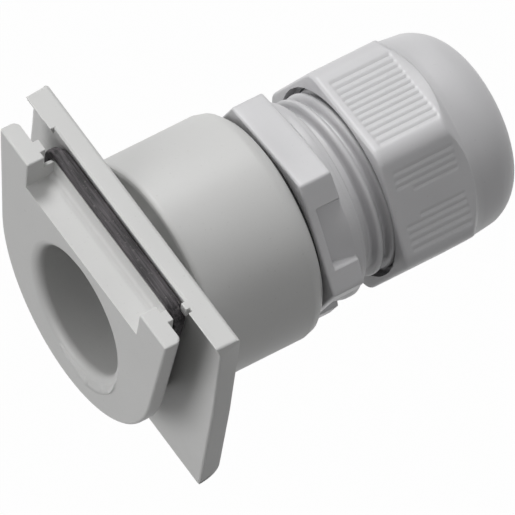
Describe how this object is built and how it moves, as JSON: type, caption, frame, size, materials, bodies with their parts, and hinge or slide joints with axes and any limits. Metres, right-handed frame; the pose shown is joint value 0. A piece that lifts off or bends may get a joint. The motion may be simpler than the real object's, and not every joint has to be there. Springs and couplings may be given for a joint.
{
  "type": "cable entry adapter",
  "caption": "Slide-in wall adapter with a sealed groove for an enclosure wall, a cylindrical tube and a screwed-in cable gland with a dome nut.",
  "frame": {"origin": "on the cable bore's axis, in the plane of the rear plate's groove face, which seats against the wall", "axes": "+Y along the cable bore from the front plate towards the dome nut, +Z towards the straight top edge of both plates, +X to the right seen from the front"},
  "size_m": [0.0392, 0.0534, 0.0286],
  "materials": {
    "adapter_plastic": "light grey moulded plastic, fine satin",
    "seal_rubber": "soft dark rubber",
    "gasket_rubber": "dark rubber",
    "gland_plastic": "light grey polyamide, satin",
    "cage_plastic": "light grey polyamide, satin",
    "bush_rubber": "soft dark rubber",
    "nut_plastic": "light grey polyamide, satin"
  },
  "bodies": {
    "adapter": {"adapter_body": "adapter_plastic", "wall_seal": "seal_rubber", "gland_gasket": "gasket_rubber", "gland_body": "gland_plastic"},
    "clamp_insert": {"clamp_cage": "cage_plastic", "cable_seal": "bush_rubber"},
    "dome_nut": {"dome_nut": "nut_plastic"}
  },
  "joints": [
    {"name": "insert_travel", "type": "slide", "parent": "adapter", "child": "clamp_insert", "axis": [0, 1, 0], "range_m": [-0.00437, 0.00365]},
    {"name": "nut_turn", "type": "hinge", "parent": "clamp_insert", "child": "dome_nut", "pos_m": [0, 0.036, 0], "axis": [0, 1, 0], "range_deg": [-648, 540]}
  ],
  "couplings": [
    {"joint": "insert_travel", "follows": "nut_turn", "m_per_rad": 0.00038197}
  ]
}
